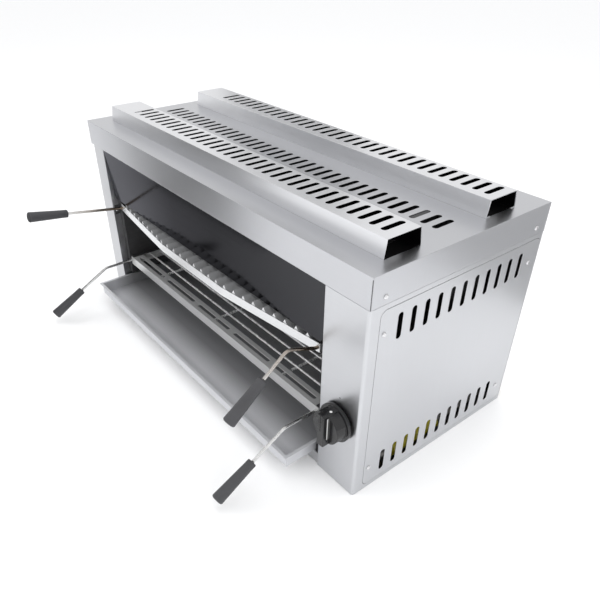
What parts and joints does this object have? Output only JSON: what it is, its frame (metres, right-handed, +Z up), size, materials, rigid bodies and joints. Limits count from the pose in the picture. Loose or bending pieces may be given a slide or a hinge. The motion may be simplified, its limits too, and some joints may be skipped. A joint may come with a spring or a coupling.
{
  "type": "salamander grill",
  "caption": "Gas salamander grill (cheese melter) in brushed steel, with a bowed brander shelf, a toasting rack, a drip tray, slotted vent ducts and a push and turn control knob.",
  "frame": {"origin": "centre of the casing's footprint, on its underside", "axes": "+X to the right seen from the front, +Y to the rear, +Z up"},
  "size_m": [0.9044, 0.6275, 0.449],
  "materials": {
    "casing_steel": "brushed stainless sheet, satin",
    "panel_steel": "brushed stainless sheet, bright",
    "polished_steel": "bright rolled stainless, reflective",
    "inner_steel": "plain stainless, heat dulled",
    "shelf_steel": "satin stainless",
    "wire_steel": "plated wire",
    "tray_steel": "brushed stainless",
    "rod_steel": "plated rod, faintly heat tinted",
    "grip_plastic": "moulded, matte",
    "knob_plastic": "moulded, glossy",
    "screw_steel": "bright plated",
    "plaque_ceramic": "ceramic tile, matt",
    "cast_brass": "cast and turned",
    "pipe_steel": "drawn steel tube",
    "copper": "drawn copper tube",
    "sleeve_plastic": "yellow sleeve"
  },
  "bodies": {
    "casing": {"top_cover": "casing_steel", "front_duct": "casing_steel", "rear_duct": "casing_steel", "left_casing": "casing_steel", "right_frame": "casing_steel", "service_panel": "panel_steel", "rear_panel": "casing_steel", "base_pan": "casing_steel", "heat_deflector": "polished_steel", "left_liner": "inner_steel", "right_liner": "inner_steel", "rear_liner": "inner_steel", "burner_shelf": "inner_steel", "casing_screws": "screw_steel", "pipe_shield": "inner_steel", "upper_runner_left": "inner_steel", "upper_runner_right": "inner_steel", "lower_runner_left": "inner_steel", "lower_runner_right": "inner_steel", "tray_runner_left": "inner_steel", "tray_runner_right": "inner_steel", "burner_left": "inner_steel", "burner_right": "inner_steel", "plaque_left": "plaque_ceramic", "plaque_right": "plaque_ceramic", "guard_left": "wire_steel", "guard_right": "wire_steel", "manifold": "pipe_steel", "manifold_clips": "inner_steel", "injectors": "cast_brass", "feed_pipe": "copper", "gas_valve": "cast_brass", "inlet_pipe": "pipe_steel", "pipe_sleeve": "sleeve_plastic", "inlet_fitting": "cast_brass", "pilot_burner": "pipe_steel", "thermocouple": "copper"},
    "brander_shelf": {"brander_frame": "shelf_steel", "brander_plate": "shelf_steel", "upper_rod_left": "rod_steel", "upper_rod_right": "rod_steel", "upper_grip_left": "grip_plastic", "upper_grip_right": "grip_plastic"},
    "rack_shelf": {"toasting_rack": "shelf_steel", "rack_wires": "wire_steel", "rack_supports": "wire_steel", "lower_rod_left": "rod_steel", "lower_rod_right": "rod_steel", "lower_grip_left": "grip_plastic", "lower_grip_right": "grip_plastic"},
    "tray": {"drip_tray": "tray_steel"},
    "push": {"valve_plunger": "screw_steel"},
    "control": {"valve_spindle": "cast_brass", "knob": "knob_plastic"}
  },
  "joints": [
    {"name": "brander_slide", "type": "slide", "parent": "casing", "child": "brander_shelf", "axis": [0, -1, 0], "range_m": [0, 0.22]},
    {"name": "rack_slide", "type": "slide", "parent": "casing", "child": "rack_shelf", "axis": [0, -1, 0], "range_m": [0, 0.22]},
    {"name": "tray_slide", "type": "slide", "parent": "casing", "child": "tray", "axis": [0, -1, 0], "range_m": [-0.066, 0.045]},
    {"name": "knob_push", "type": "slide", "parent": "casing", "child": "push", "axis": [0, 1, 0], "range_m": [0, 0.003], "stiffness_N_per_m": 1000},
    {"name": "knob_turn", "type": "hinge", "parent": "push", "child": "control", "pos_m": [0.405, -0.2, 0.14], "axis": [0, -1, 0], "range_deg": [0, 180]}
  ]
}
